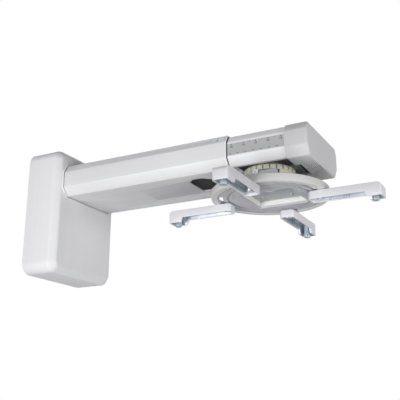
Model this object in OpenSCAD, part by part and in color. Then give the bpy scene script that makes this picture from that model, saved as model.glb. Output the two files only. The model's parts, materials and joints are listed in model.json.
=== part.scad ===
// Wall mount for a short-throw projector. A covered wall plate carries a telescopic arm, and the arm
// carries a head that turns and tilts and holds the projector by four adjustable legs.
// The origin is the middle of the wall bolt pattern, on the back of the wall plate. +X points away from the wall.

/* [Wall plate and cover] */
// Width of the wall cover
cover_w = 168; // [160:1:200]
// Height of the wall cover
cover_h = 214; // [208:1:260]
// Distance from the wall to the front of the cover
cover_d = 65; // [60:1:90]
// Wall thickness of the cover
cover_wall = 2.5; // [2:0.1:4]
// Radius of the cover's edges
cover_round = 9; // [6:0.5:12]
// Gap between the wall plate and the inside of the cover
plate_fit = 0.4; // [0.3:0.05:0.8]
// Thickness of the wall plate
plate_t = 3; // [2:0.1:4]
// Depth of the wall plate's folded lip
plate_lip = 16; // [12:1:24]
// Distance between the wall bolts across
bolt_dy = 136; // [130:1:140]
// Distance between the wall bolts up and down
bolt_dz = 168; // [160:1:176]
// Radius of the wall bolt holes
bolt_r = 4.5; // [3:0.1:5]
// Width of the cable hole in the wall plate
cable_hole_w = 60; // [30:1:80]
// Height of the cable hole in the wall plate
cable_hole_h = 50; // [30:1:60]
// Height of the middle of the cable hole
cable_hole_z = -48; // [-55:1:-42]
// Width of the upper cable hole, behind the arm
arm_hole_w = 60; // [30:1:70]
// Height of the upper cable hole
arm_hole_h = 36; // [20:1:38]

/* [Arm bracket] */
// Width of the bracket's flange
flange_w = 118; // [110:1:120]
// Height of the bracket's flange
flange_h = 92; // [88:1:96]
// Thickness of the bracket's flange
flange_t = 4; // [3:0.1:6]
// Distance between the studs across
stud_dy = 92; // [80:1:96]
// Distance between the studs up and down
stud_dz = 72; // [70:1:76]
// Radius of the studs
stud_r = 4; // [3:0.1:4.5]
// Width of the spigot inside the outer arm
spigot_w = 104; // [80:1:108]
// Wall thickness of the spigot
spigot_wall = 3; // [2:0.1:4]
// Distance from the wall to the end of the spigot
spigot_end = 150; // [110:1:165]

/* [Arm] */
// Height of the arm's axis over the bolt pattern
arm_z = 51.5; // [48:0.5:54]
// Width of the outer arm
arm_w = 140; // [136:1:146]
// Height of the outer arm
arm_h = 53.2; // [50:0.1:56]
// Wall thickness of the outer arm
arm_wall = 2.2; // [1.8:0.1:2.6]
// Width of the upper chamfers
top_cy = 7.6; // [6:0.1:10]
// Height of the upper chamfers
top_cz = 12.6; // [10:0.1:14]
// Width of the lower chamfers
low_cy = 10.7; // [8:0.1:12]
// Height of the lower chamfers
low_cz = 15; // [12:0.1:16]
// Distance from the wall to the end of the outer arm
arm_end = 374.4; // [360:0.2:450]
// Running gap between the two arms
arm_gap = 0.74; // [0.6:0.02:1]
// Wall thickness of the inner arm
inner_wall = 2.4; // [2:0.1:3]
// Length of the inner arm
inner_len = 296; // [270:1:300]
// Length of the inner arm that shows at rest
inner_show = 93.2; // [92:0.1:120]
// Width of the opening under the inner arm
channel_w = 104; // [100:1:106]
// Length of the end cap
cap_len = 35.7; // [32:0.1:45]
// Wall thickness of the end cap
cap_wall = 2.2; // [1.8:0.1:2.6]
// Radius of the end cap's outer edges
cap_round = 4; // [2:0.5:6]

/* [Cable slot] */
// Start of the cable slot in the outer arm
slot_x = 195; // [180:1:200]
// Length of the cable slot
slot_len = 145; // [135:1:155]
// Width of the cable slot
slot_w = 60; // [56:1:64]
// Gap round the cable cover
slot_fit = 0.4; // [0.2:0.05:0.6]
// Length of the cable hole in the cover
cable_len = 36; // [20:1:40]
// Width of the cable hole in the cover
cable_w = 48; // [30:1:50]

/* [Head] */
// Distance from the end of the outer arm to the head's axis
head_reach = 41.6; // [41.4:0.1:44]
// Radius of the notched drum
drum_r = 40; // [38:0.1:40]
// Number of notches round the drum
notches = 24; // [12:1:36]
// Radius of the spindle
spindle_r = 18; // [16:0.1:19]
// Radius of the cable bore in the spindle
spindle_bore = 14; // [10:0.1:14]
// Radius of the cable hole in the tray's lid
lid_hole_r = 11; // [8:0.5:11]
// Radius of the tilt bolts
pivot_r = 3; // [2.5:0.1:3.2]
// Running clearance of the pivots
run_gap = 0.06; // [0.02:0.01:0.1]
// Radius of the round plate's rim
rim_r = 91; // [90:0.1:96]
// Thickness of the round plate
disc_t = 3; // [2.5:0.1:3.5]
// Height of the rim
rim_h = 12; // [10:0.1:14]
// Length of the window along the arm
window_x = 83; // [70:1:84]
// Width of the window across the arm
window_y = 79; // [70:1:80]

/* [Legs] */
// Distance from the head's axis to the clamp screws
clamp_pitch = 76; // [75:0.1:77]
// Distance from the head's axis to the foot posts
post_pitch = 162; // [150:0.5:175]
// Width of a leg
leg_w = 24; // [22:0.5:28]
// Height of a leg's side walls
leg_h = 12.2; // [11.6:0.1:14]
// Height of the drop at a leg's outer end
leg_drop = 19.8; // [17:0.1:24]
// Wall thickness of the leg cover
leg_wall = 1.8; // [1.5:0.1:2]
// Thickness of the steel core
core_t = 2; // [1.5:0.1:2.2]
// Travel of a leg along its slot
leg_travel = 33; // [20:1:40]
// Radius of the clamp screws
clamp_r = 2.5; // [2:0.1:2.5]
// Radius of the foot posts
post_r = 5.5; // [4.5:0.1:6]
// Radius of the hole through a foot post
post_bore = 2.6; // [2:0.1:3]
// Travel of a clamp screw along its arc slot, each way in degrees
arc_travel = 28; // [15:1:32]

/* [Hidden] */
$fn = 64;

// Cuts run past the faces they open by this much
past = 1;
// Faces of pieces that are screwed together stay this far apart
seat = 0.05;
// Clearance of a screw in a hole that it holds in
grip = 0.05;
// Clearance of a screw in a hole that it passes through
pass = 0.3;
// Facets of the small rounded corners
corner_fn = 32;

// Leg directions, in degrees about the head's axis
near_az = -90;
wall_az = 180;
far_az = 90;
front_az = 0;

// Wall end
plate_w = cover_w - 2 * (cover_wall + plate_fit);
plate_h = cover_h - 2 * (cover_wall + plate_fit);
plate_corner = 7;
stud_len = 16;
washer_t = 1.5;
nut_t = 6.5;
nut_r = 7.5;
arm_start = plate_t + flange_t + 1;

// Arm: each outline is the outer arm's octagon moved in by its inset
collar_gap = 0.9;
collar_rim = 3;
collar_t = 2;
bezel_len = 2.5;
bezel_t = 1.3;
wiper_inset = bezel_t + 0.2;
wiper_gap = 0.3;
strip_t = 0.2;
inner_inset = arm_wall + arm_gap;
inner_end = arm_end + inner_show + 2.4;
inner_start = inner_end - inner_len;
wiper_end = arm_end + 0.8;
ledge_z = -14.5;
ledge_t = 2.5;
ledge_w = 100;
boss_y = 36;
cap_inset = 1.26;
cap_start = arm_end + inner_show;
cap_end = cap_start + cap_len;
underside = -arm_h / 2;

// Cable cover
cover_tab = 4;
cable_x = slot_x + 94;
cable_y = -2;

// Hatch in the end cap
hatch_start = cap_start + 8;
hatch_end = cap_end - 4;
hatch_w_in = 48;
hatch_w_out = 18;
hatch_t = 1.9;
hatch_ribs = 7;

// Head, with heights from the arm's axis
head_x = arm_end + head_reach;
carriage_z = ledge_z + ledge_t;
carriage_t = 3;
carriage_l = 88;
carriage_w = 120;
shoulder_r = spindle_r + 6;
drum_top = -20;
drum_plate_z = -24;
drum_plate_t = 3;
drum_wall = 3.6;
nut_out = spindle_r + 4.5;
drum_step = 1.2;
drum_lip_z = -28;
drum_low = -41.7;
fork_w = 54;
spindle_end = -33;
gimbal_z = -37;
gimbal_h = 9;
gimbal_r = drum_r - drum_wall - 1.9;
gimbal_in = 27;
arm_reach = 48.6;
ear_in = 49;
ear_t = 4;
ear_r = 4.8;
ear_foot = 20;
ear_half = 30;
lid_screw_x = 24;
lid_screw_y = 28;
bolt_head_r = 4.5;
bolt_head_t = 3;

// Round plate: the rim's lip is its lowest face
rim_low = -63.9;
rim_lip = 1.3;
rim_in = 81.5;
rim_wall = 3;
disc_r = rim_r - rim_wall - 0.4;
disc_low = rim_low + rim_lip;
disc_top = disc_low + disc_t;
window_dx = 5.5;
window_dy = 5.5;
hub_r = 68;
hub_t = 2;
hub_wall = 1.8;
lid_low = disc_low + 11.6;
lid_t = 1.8;
lid_top = lid_low + lid_t;
rib_t = 1.4;
lid_hole_y = -7;
bead_r = 64;
arc_half = clamp_r + 0.4;

// Legs
leg_top = rim_low - 0.3;
leg_inner = 12;
post_u = post_pitch - clamp_pitch;
leg_outer = post_u + 12.5;
drop_u = post_u - 10.5;
leg_corner = 8;
plan_corner = 4;
core_fit = 0.15;
core_wall = 1.5;
core_open = 6.5;
core_top = leg_top - leg_wall - seat;
core_low = core_top - core_t;
bush_r = clamp_r + 0.7;
bush_flange_r = 7;
bush_flange_t = 1.3;
clamp_washer_t = 1;
head_r = 6;
head_t = 3.7;
post_low = -88.8;

// Width and height of a chamfer when its outline is moved in by d
function chamfer_in(c, d) = let (l = norm(c), ny = c[1] / l, nz = c[0] / l)
    [c[0] - d + d * (1 - nz) / ny, c[1] - d + d * (1 - ny) / nz];

// The arm's octagon, moved in by d
function arm_points(d) = let (
        w = arm_w / 2 - d,
        h = arm_h / 2 - d,
        t = chamfer_in([top_cy, top_cz], d),
        b = chamfer_in([low_cy, low_cz], d)
    ) [
        [w - t[0], h], [w, h - t[1]], [w, -h + b[1]], [w - b[0], -h],
        [-w + b[0], -h], [-w, -h + b[1]], [-w, h - t[1]], [-w + t[0], h]
    ];

// Points of a quarter circle about c, from angle a0
function quarter(c, r, a0, n = 6) = [for (i = [0:n]) c + r * [cos(a0 + 90 * i / n), sin(a0 + 90 * i / n)]];

// Children drawn in the Y-Z plane, extruded from x0 to x1 about the arm's axis
module along_arm(x0, x1) {
    translate([x0, 0, arm_z])
        rotate([90, 0, 90])
            linear_extrude(x1 - x0)
                children();
}

module arm_outline(d) {
    polygon(arm_points(d));
}

// A ring between two outlines of the arm
module arm_ring(x0, x1, d_out, d_in) {
    along_arm(x0, x1)
        difference() {
            arm_outline(d_out);
            arm_outline(d_in);
        }
}

// A cylinder along X from x0 to x1
module rod_x(x0, x1, r, fn = 64) {
    translate([x0, 0, 0])
        rotate([0, 90, 0])
            cylinder(r = r, h = x1 - x0, $fn = fn);
}

// A cylinder along Z from z0 to z1
module rod_z(z0, z1, r, fn = 64) {
    translate([0, 0, z0])
        cylinder(r = r, h = z1 - z0, $fn = fn);
}

// A ring along Z
module ring_z(z0, z1, r_out, r_in, fn = 64) {
    difference() {
        rod_z(z0, z1, r_out, fn);
        rod_z(z0 - past, z1 + past, r_in);
    }
}

// A box from its low and its high corner
module box(low, high) {
    translate(low)
        cube(high - low);
}

// Children at the head's axis, at the arm's height
module at_head() {
    translate([head_x, 0, arm_z])
        children();
}

module at_corners(dy, dz) {
    for (y = [-dy / 2, dy / 2], z = [-dz / 2, dz / 2])
        translate([0, y, z])
            children();
}

// Wall plate and cover

// The plate's outline moved in by d, from x0 to x1
module plate_form(x0, x1, d) {
    translate([x0, 0, 0])
        rotate([90, 0, 90])
            linear_extrude(x1 - x0)
                rounded_square(plate_w - 2 * d, plate_h - 2 * d, plate_corner - d);
}

module wall_plate() {
    color("#b9bcc0") {
        difference() {
            plate_form(0, plate_lip, 0);
            plate_form(plate_t, plate_lip + past, plate_t);
            box([-past, -cable_hole_w / 2, cable_hole_z - cable_hole_h / 2],
                [plate_t + past, cable_hole_w / 2, cable_hole_z + cable_hole_h / 2]);
            translate([0, 0, arm_z])
                box([-past, -arm_hole_w / 2, -arm_hole_h / 2], [plate_t + past, arm_hole_w / 2, arm_hole_h / 2]);
            at_corners(bolt_dy, bolt_dz)
                rod_x(-past, plate_t + past, bolt_r);
            at_cover_screws()
                rod_z(-2 * plate_t, past, cover_screw_r + grip);
            // relief cuts where the lips meet
            for (y = [-1, 1], z = [-1, 1])
                translate([0, y * plate_w / 2, z * plate_h / 2])
                    rod_x(plate_t, plate_lip + past, plate_corner + 2);
        }
        translate([0, 0, arm_z])
            at_corners(stud_dy, stud_dz)
                rod_x(plate_t - 0.5, plate_t + stud_len, stud_r);
    }
}

cover_screw_r = 2;
cover_screw_y = 50;

module at_cover_screws() {
    for (y = [-cover_screw_y, cover_screw_y])
        translate([plate_lip * 0.6, y, plate_h / 2])
            children();
}

// A square with corners of radius r
module rounded_square(w, h, r) {
    polygon(concat(
        quarter([w / 2 - r, h / 2 - r], r, 0),
        quarter([-w / 2 + r, h / 2 - r], r, 90),
        quarter([-w / 2 + r, -h / 2 + r], r, 180),
        quarter([w / 2 - r, -h / 2 + r], r, 270)
    ));
}

// A box along X with rounded corners and a rounded front edge
module cover_form(w, h, x0, x1, r) {
    steps = 6;
    hull()
        for (i = [0:steps]) {
            a = 85 * i / steps;
            inset = r * (1 - cos(a));
            translate([x0, 0, 0])
                rotate([90, 0, 90])
                    linear_extrude(x1 - x0 - r * (1 - sin(a)))
                        rounded_square(w - 2 * inset, h - 2 * inset, r - inset);
        }
}

module wall_cover() {
    color("#e6e7e8")
        difference() {
            cover_form(cover_w, cover_h, 0, cover_d, cover_round);
            cover_form(cover_w - 2 * cover_wall, cover_h - 2 * cover_wall,
                -past, cover_d - cover_wall, cover_round - cover_wall);
            along_arm(cover_d / 2, cover_d + past)
                arm_outline(-collar_gap - 0.7);
            at_cover_screws()
                rod_z(0, 2 * cover_wall, cover_screw_r + pass);
        }
}

module cover_screws() {
    color("#c9ccd0")
        at_cover_screws()
            translate([0, 0, plate_fit]) {
                rod_z(-plate_t - plate_fit - 1, cover_wall + seat, cover_screw_r);
                rod_z(cover_wall + seat, cover_wall + 2, 2 * cover_screw_r);
            }
}

module root_collar() {
    color("#f4f4f4") {
        arm_ring(cover_d + seat, cover_d + collar_t, -collar_rim, -collar_gap);
        arm_ring(cover_d - 4, cover_d + collar_t, -collar_gap - 0.6, -collar_gap);
    }
}

// Arm bracket on the studs

module spigot_outline(d) {
    h = arm_h / 2 - arm_wall - 0.3;
    square([spigot_w - 2 * d, 2 * (h - d)], center = true);
}

module root_cable_cut() {
    translate([0, 0, arm_z])
        box([arm_start + 6, -32, underside - past], [cover_d - 8, 32, 0]);
}

module arm_bracket() {
    color("#9da1a6")
        difference() {
            union() {
                translate([0, 0, arm_z])
                    box([plate_t, -flange_w / 2, -flange_h / 2], [plate_t + flange_t, flange_w / 2, flange_h / 2]);
                along_arm(plate_t + flange_t - 0.5, spigot_end)
                    spigot_outline(0);
            }
            along_arm(plate_t - past, spigot_end + past)
                spigot_outline(spigot_wall);
            translate([0, 0, arm_z])
                at_corners(stud_dy, stud_dz)
                    rod_x(0, plate_t + flange_t + past, stud_r + pass);
            root_cable_cut();
            at_arm_bolts()
                rod_z(-12, past, arm_bolt_r + grip);
        }
}

module bracket_washers() {
    color("#d5d8da")
        translate([plate_t + flange_t + seat, 0, arm_z])
            at_corners(stud_dy, stud_dz)
                difference() {
                    rod_x(0, washer_t, 2 * stud_r);
                    rod_x(-past, washer_t + past, stud_r + 0.15);
                }
}

module bracket_nuts() {
    color("#cdd0d3")
        translate([plate_t + flange_t + washer_t + 2 * seat, 0, arm_z])
            at_corners(stud_dy, stud_dz)
                difference() {
                    rod_x(0, nut_t, nut_r, 6);
                    rod_x(-past, nut_t + past, stud_r + grip);
                }
}

// Outer arm and what sits on it

arm_bolt_r = 3;

module at_arm_bolts() {
    for (x = [arm_start + 16, arm_start + 36], y = [-34, 34])
        translate([x, y, arm_z + arm_h / 2])
            children();
}

module at_lock_screws() {
    // the screws stand square to the upper chamfers
    tilt = atan2(top_cz, top_cy);
    for (side = [-1, 1])
        translate([arm_end - 19, side * (arm_w / 2 - top_cy * 0.6), arm_z + arm_h / 2 - top_cz * 0.4])
            rotate([-side * tilt, 0, 0])
                children();
}

lock_r = 2;

module outer_arm() {
    color("#dfe0e2")
        difference() {
            arm_ring(arm_start, arm_end - bezel_len, 0, arm_wall);
            translate([slot_x, -slot_w / 2, arm_z + underside - past])
                cube([slot_len, slot_w, arm_wall + 2 * past]);
            root_cable_cut();
            at_arm_bolts()
                rod_z(-2 * arm_wall, past, arm_bolt_r + pass);
            at_lock_screws()
                rod_z(-2 * arm_wall, past, lock_r + grip);
        }
}

module arm_bolts() {
    color("#c4c7ca")
        at_arm_bolts() {
            rod_z(-9, seat, arm_bolt_r);
            rod_z(seat, 3.2, 2 * arm_bolt_r, 6);
        }
}

module outer_bezel() {
    color("#f6f6f6")
        arm_ring(arm_end - bezel_len + seat, arm_end, 0, bezel_t);
}

module wiper_seal() {
    color("#3b3b3d")
        arm_ring(arm_end - bezel_len + seat, wiper_end, wiper_inset, inner_inset - wiper_gap);
}

module cable_hole_outline() {
    x0 = cable_x;
    x1 = cable_x + cable_len;
    y0 = cable_y - cable_w / 2;
    y1 = cable_y + cable_w / 2;
    c = 9;
    f = 2;
    polygon([
        [x0 + c, y0], [x1 - c, y0], [x1, y0 + c], [x1, y1 - f],
        [x1 - f, y1], [x0 + f, y1], [x0, y1 - f], [x0, y0 + c]
    ]);
}

module cable_cover() {
    x0 = slot_x + slot_fit;
    x1 = slot_x + slot_len - slot_fit;
    w = slot_w / 2 - slot_fit;
    color("#c9c9ce")
        translate([0, 0, arm_z + underside])
            difference() {
                union() {
                    box([x0, -w, 0], [x1, w, arm_wall]);
                    // snap tabs that rest on the inside of the arm
                    for (x = [x0 + 20, x1 - 20], side = [-1, 1])
                        translate([x, side * (w + slot_fit), arm_wall + seat + 0.5])
                            cube([14, 2 * cover_tab, 1], center = true);
                    for (side = [-1, 1])
                        translate([(x0 + x1) / 2, side * (w - 1), arm_wall + 0.5])
                            cube([x1 - x0 - 12, 2, 1.1], center = true);
                }
                translate([0, 0, -past])
                    linear_extrude(arm_wall + 4)
                        cable_hole_outline();
            }
}

module lock_screws() {
    color("#8d9094")
        at_lock_screws()
            difference() {
                union() {
                    rod_z(-inner_inset + 0.3, seat, lock_r);
                    rod_z(seat, 1.7, 3.2, corner_fn);
                }
                rod_z(0.6, 3, 1.5, 6);
            }
}

// Inner arm and what sits on it

module inner_profile() {
    ceiling = arm_h / 2 - inner_inset - inner_wall;
    difference() {
        arm_outline(inner_inset);
        difference() {
            arm_outline(inner_inset + inner_wall);
            for (side = [-1, 1]) {
                // ledges that carry the carriage
                translate([side * (ledge_w + arm_w) / 4 - (arm_w - ledge_w) / 4, ledge_z])
                    square([(arm_w - ledge_w) / 2, ledge_t]);
                // screw channels in the ceiling
                translate([side * boss_y - 3.5, ceiling - 6.5])
                    square([7, 7]);
            }
        }
        for (side = [-1, 1]) {
            translate([side * boss_y, ceiling - 3.2])
                circle(r = 1.8);
            translate([side * boss_y - 0.7, ceiling - 7])
                square([1.4, 4]);
        }
        translate([-channel_w / 2, underside])
            square([channel_w, 2 * inner_inset + inner_wall]);
    }
}

module inner_arm() {
    color("#ececee")
        difference() {
            along_arm(inner_start, inner_end)
                inner_profile();
            at_carriage_screws()
                rod_z(-past, 2 * ledge_t, carriage_screw_r + pass);
        }
}

module glide_pads() {
    x0 = inner_start + 3;
    x1 = inner_start + 33;
    t = arm_gap - 0.14;
    side_w = arm_w / 2 - inner_inset;
    top_h = arm_h / 2 - inner_inset;
    lip = arm_points(inner_inset)[3][0];
    color("#f2efe6")
        translate([0, 0, arm_z]) {
            for (side = [-1, 1]) {
                translate([x0, side * (side_w + t / 2) - t / 2, -8])
                    cube([x1 - x0, t, 16]);
                translate([x0, side * 34 - 12, top_h])
                    cube([x1 - x0, 24, t]);
                translate([x0, side * (lip + channel_w / 2) / 2 - 1, -top_h - t])
                    cube([x1 - x0, 2, t]);
            }
        }
}

module scale_strip() {
    y = -arm_w / 2 + inner_inset;
    color("#cfd0d2")
        translate([0, 0, arm_z])
            box([inner_start + 40, y - strip_t, -8.5], [cap_start - 0.4, y, 10]);
}

// Corners of the hatch, or of its hole when grown by g
function hatch_points(g) = [
    [hatch_start - g, -hatch_w_in / 2 - g], [hatch_end + g, -hatch_w_out / 2 - g],
    [hatch_end + g, hatch_w_out / 2 + g], [hatch_start - g, hatch_w_in / 2 + g]
];

module end_cap() {
    steps = 5;
    color("#d2d3d5")
        difference() {
            hull()
                for (i = [0:steps]) {
                    a = 90 * i / steps;
                    along_arm(cap_start, cap_end - cap_round * (1 - sin(a)))
                        arm_outline(cap_inset + cap_round * (1 - cos(a)));
                }
            along_arm(cap_start - past, inner_end + seat)
                arm_outline(inner_inset - core_fit);
            along_arm(inner_end, cap_end - cap_wall)
                arm_outline(cap_inset + cap_wall);
            // hatch opening and the notch that leads to it
            translate([0, 0, arm_z + underside])
                linear_extrude(cap_inset + cap_wall + past)
                    union() {
                        polygon(hatch_points(0.5));
                        translate([cap_start - past, -hatch_w_in / 2 - 0.5])
                            square([hatch_start - cap_start + past, hatch_w_in + 1]);
                    }
        }
}

module cap_hatch() {
    floor_z = underside + cap_inset + cap_wall;
    pitch = (hatch_end - hatch_start - 5) / (hatch_ribs - 1);
    color("#c3c4c6")
        translate([0, 0, arm_z]) {
            translate([0, 0, floor_z - hatch_t + 0.3])
                linear_extrude(hatch_t)
                    polygon(hatch_points(0));
            // flange that slides on the inside of the cap
            box([hatch_start + 0.5, -hatch_w_in / 2 - 3, floor_z + 0.1], [hatch_end - 1, hatch_w_in / 2 + 3, floor_z + 1.2]);
            // thumb ribs
            intersection() {
                for (i = [0:hatch_ribs - 1])
                    translate([hatch_start + 2.5 + i * pitch, 0, floor_z - hatch_t + 0.2])
                        cube([1.2, hatch_w_in, 1.4], center = true);
                translate([0, 0, floor_z - 4])
                    linear_extrude(6)
                        polygon(hatch_points(-1));
            }
        }
}

// Head

carriage_screw_r = 2.5;

module at_carriage_screws() {
    for (x = [-36, 36], y = [-55.5, 55.5])
        translate([head_x + x, y, arm_z + ledge_z])
            children();
}

module carriage() {
    color("#b4b7ba")
        difference() {
            at_head() {
                box([-carriage_l / 2, -carriage_w / 2, carriage_z + seat],
                    [carriage_l / 2, carriage_w / 2, carriage_z + carriage_t]);
                rod_z(drum_top - 0.8, carriage_z + 1, shoulder_r);
                rod_z(spindle_end, carriage_z + 1, spindle_r);
            }
            at_head()
                rod_z(spindle_end - past, carriage_z + carriage_t + past, spindle_bore);
            at_carriage_screws()
                rod_z(ledge_t - past, ledge_t + carriage_t + past, carriage_screw_r + grip);
        }
}

module carriage_screws() {
    color("#c8cbce")
        at_carriage_screws()
            difference() {
                union() {
                    rod_z(-seat, ledge_t + carriage_t, carriage_screw_r);
                    rod_z(-2.6, -seat, 4.4, corner_fn);
                }
                rod_z(-3.6, -1.2, 1.9, 6);
            }
}

module index_drum() {
    low_r = drum_r - drum_step;
    in_r = drum_r - drum_wall;
    color("#d3d2bf")
        at_head()
            difference() {
                rotate_extrude()
                    polygon([
                        [in_r, drum_low], [low_r, drum_low], [low_r, drum_lip_z], [drum_r, drum_lip_z],
                        [drum_r, drum_top - 0.8], [drum_r - 0.8, drum_top], [in_r, drum_top],
                        [in_r, drum_plate_z + drum_plate_t], [spindle_r + run_gap, drum_plate_z + drum_plate_t],
                        [spindle_r + run_gap, drum_plate_z], [in_r, drum_plate_z]
                    ]);
                for (i = [0:notches - 1])
                    rotate([0, 0, (i + 0.5) * 360 / notches])
                        box([drum_r - 2.4, -1, drum_lip_z + 1], [drum_r + past, 1, drum_top + past]);
                // the wall is open at both sides, so the drum forks to the roll bolts
                for (side = [-1, 1])
                    translate([-fork_w / 2, side * drum_r - drum_r / 2, drum_low - past])
                        cube([fork_w, drum_r, drum_lip_z - drum_low + past]);
                translate([0, 0, gimbal_z])
                    rod_x(-drum_r - past, drum_r + past, pivot_r + run_gap);
            }
}

module swivel_washer() {
    color("#d0d3d6")
        at_head()
            ring_z(drum_plate_z - 1.4, drum_plate_z - 0.1, spindle_r + 5, spindle_r + 0.1);
}

module swivel_nut() {
    color("#c4c7ca")
        at_head()
            difference() {
                ring_z(drum_plate_z - 6.5, drum_plate_z - 1.5, nut_out, spindle_r + grip);
                // slots for a hook spanner
                for (a = [45:90:315])
                    rotate([0, 0, a])
                        box([nut_out - 1.5, -2, drum_plate_z - 7], [nut_out + past, 2, drum_plate_z - 1]);
            }
}

// A bolt along X from the middle outwards, with its head outside
module pivot_bolt(tip, seat_x) {
    difference() {
        union() {
            rod_x(tip, seat_x, pivot_r);
            rod_x(seat_x, seat_x + bolt_head_t, bolt_head_r, corner_fn);
        }
        rod_x(seat_x + 1.2, seat_x + bolt_head_t + past, 2, 6);
    }
}

module roll_bolts() {
    color("#c4c7ca")
        at_head()
            translate([0, 0, gimbal_z])
                for (a = [0, 180])
                    rotate([0, 0, a])
                        pivot_bolt(gimbal_in + 1, drum_r - drum_step + 0.3);
}

module gimbal_ring() {
    color("#a9acb1")
        at_head()
            translate([0, 0, gimbal_z])
                difference() {
                    union() {
                        rod_z(-gimbal_h / 2, gimbal_h / 2, gimbal_r);
                        rotate([0, 0, 90])
                            rod_x(-arm_reach, arm_reach, gimbal_h / 2);
                    }
                    rod_z(-gimbal_h, gimbal_h, gimbal_in);
                    for (a = [0, 90])
                        rotate([0, 0, a])
                            rod_x(-arm_reach - past, arm_reach + past, pivot_r + grip);
                }
}

module pitch_bolts() {
    color("#c4c7ca")
        at_head()
            translate([0, 0, gimbal_z])
                for (a = [90, 270])
                    rotate([0, 0, a])
                        pivot_bolt(gimbal_in + 4, ear_in + ear_t + 0.2);
}

module window_box(z0, z1, grow) {
    box([window_dx - window_x / 2 - grow, window_dy - window_y / 2 - grow, z0],
        [window_dx + window_x / 2 + grow, window_dy + window_y / 2 + grow, z1]);
}

module hub_frame() {
    rib_pitch = (lid_low - disc_low) / 4;
    wall_y = window_y / 2;
    color("#eeeeea")
        at_head()
            difference() {
                union() {
                    rod_z(disc_top + seat, disc_top + hub_t, hub_r);
                    window_box(disc_top + seat, lid_top, hub_wall);
                }
                // level ribs stay on the two long walls
                difference() {
                    window_box(disc_top - past, lid_low, 0);
                    for (i = [1:3], side = [-1, 1])
                        translate([window_dx, window_dy + side * wall_y, disc_low + i * rib_pitch])
                            cube([window_x + past, 2 * rib_t, rib_t], center = true);
                }
                translate([0, lid_hole_y, 0])
                    rod_z(lid_low - past, lid_top + past, lid_hole_r);
                at_hub_screws()
                    rod_z(disc_top - past, disc_top + hub_t + past, hub_screw_r + pass);
                at_lid_screws()
                    rod_z(lid_low - past, lid_top + past, hub_screw_r + pass);
            }
}

module pitch_ears() {
    color("#b4b7ba")
        at_head()
            difference() {
                for (a = [0, 180])
                    rotate([0, 0, a]) {
                        box([-ear_half, ear_foot, lid_top + seat], [ear_half, ear_in + 1, lid_top + hub_t]);
                        translate([0, ear_in + ear_t, 0])
                            rotate([90, 0, 0])
                                linear_extrude(ear_t)
                                    union() {
                                        polygon([
                                            [-18, lid_top + seat], [18, lid_top + seat],
                                            [ear_r, gimbal_z], [-ear_r, gimbal_z]
                                        ]);
                                        translate([0, gimbal_z])
                                            circle(r = ear_r);
                                    }
                    }
                at_lid_screws()
                    rod_z(lid_top - past, lid_top + hub_t + past, hub_screw_r + grip);
                translate([0, 0, gimbal_z])
                    rotate([0, 0, 90])
                        rod_x(-drum_r - 15, drum_r + 15, pivot_r + run_gap);
            }
}

module lid_screws() {
    color("#c8cbce")
        at_head()
            at_lid_screws()
                difference() {
                    union() {
                        rod_z(lid_low - seat, lid_top + hub_t, hub_screw_r);
                        rod_z(lid_low - 2.2, lid_low - seat, 3.8, corner_fn);
                    }
                    rod_z(lid_low - 3, lid_low - 1, 1.5, 6);
                }
}

module at_lid_screws() {
    for (x = [-lid_screw_x, lid_screw_x], y = [-lid_screw_y, lid_screw_y])
        translate([x, y, 0])
            children();
}

hub_screw_r = 2;

module at_hub_screws() {
    for (p = [[-50, -24], [-50, 24], [56, -24], [56, 24]])
        translate([p[0], p[1], 0])
            children();
}

module hub_screws() {
    color("#c8cbce")
        at_head()
            at_hub_screws()
                difference() {
                    union() {
                        rod_z(disc_low + 0.3, disc_top + hub_t + seat, hub_screw_r);
                        rod_z(disc_top + hub_t + seat, disc_top + hub_t + 2.5, 3.8, corner_fn);
                    }
                    rod_z(disc_top + hub_t + 1.2, disc_top + hub_t + 4, 1.5, 6);
                }
}

module arc_slot(az) {
    turn = arc_travel + 0.3;
    far = 2 * clamp_pitch;
    rotate([0, 0, az]) {
        intersection() {
            difference() {
                rod_z(disc_low - past, disc_top + past, clamp_pitch + arc_half);
                rod_z(disc_low - 2 * past, disc_top + 2 * past, clamp_pitch - arc_half);
            }
            translate([0, 0, disc_low - past])
                linear_extrude(disc_t + 2 * past)
                    polygon([[0, 0], far * [cos(turn), -sin(turn)], [far, 0], far * [cos(turn), sin(turn)]]);
        }
        for (a = [-turn, turn])
            rotate([0, 0, a])
                translate([clamp_pitch, 0, 0])
                    rod_z(disc_low - past, disc_top + past, arc_half);
    }
}

module mounting_plate() {
    color("#a3a4aa")
        at_head()
            difference() {
                rod_z(disc_low, disc_top, disc_r);
                window_box(disc_low - past, disc_top + past, 0);
                for (az = [near_az, wall_az, far_az, front_az])
                    arc_slot(az);
                ring_z(disc_low - past, disc_low + 1, bead_r + 2.4, bead_r);
                at_hub_screws()
                    rod_z(disc_low - past, disc_top + past, hub_screw_r + grip);
            }
}

module rim_cover() {
    top = rim_low + rim_h;
    color("#dedcd2")
        at_head()
            rotate_extrude($fn = 128)
                polygon([
                    [rim_in, disc_low - seat], [rim_in, rim_low + 0.4], [rim_in + 0.4, rim_low],
                    [rim_r - 4, rim_low], [rim_r - 3.6, rim_low + 0.5], [rim_r - 2.6, rim_low + 0.5],
                    [rim_r - 2.2, rim_low], [rim_r - 0.5, rim_low], [rim_r, rim_low + 0.5],
                    [rim_r, top - 0.8], [rim_r - 0.8, top], [rim_r - rim_wall, top],
                    [rim_r - rim_wall, disc_low - seat]
                ]);
}

// Legs, drawn outwards along +X from the clamp screw and then turned to their place

module at_clamp(az) {
    at_head()
        rotate([0, 0, az])
            translate([clamp_pitch, 0, 0])
                children();
}

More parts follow.
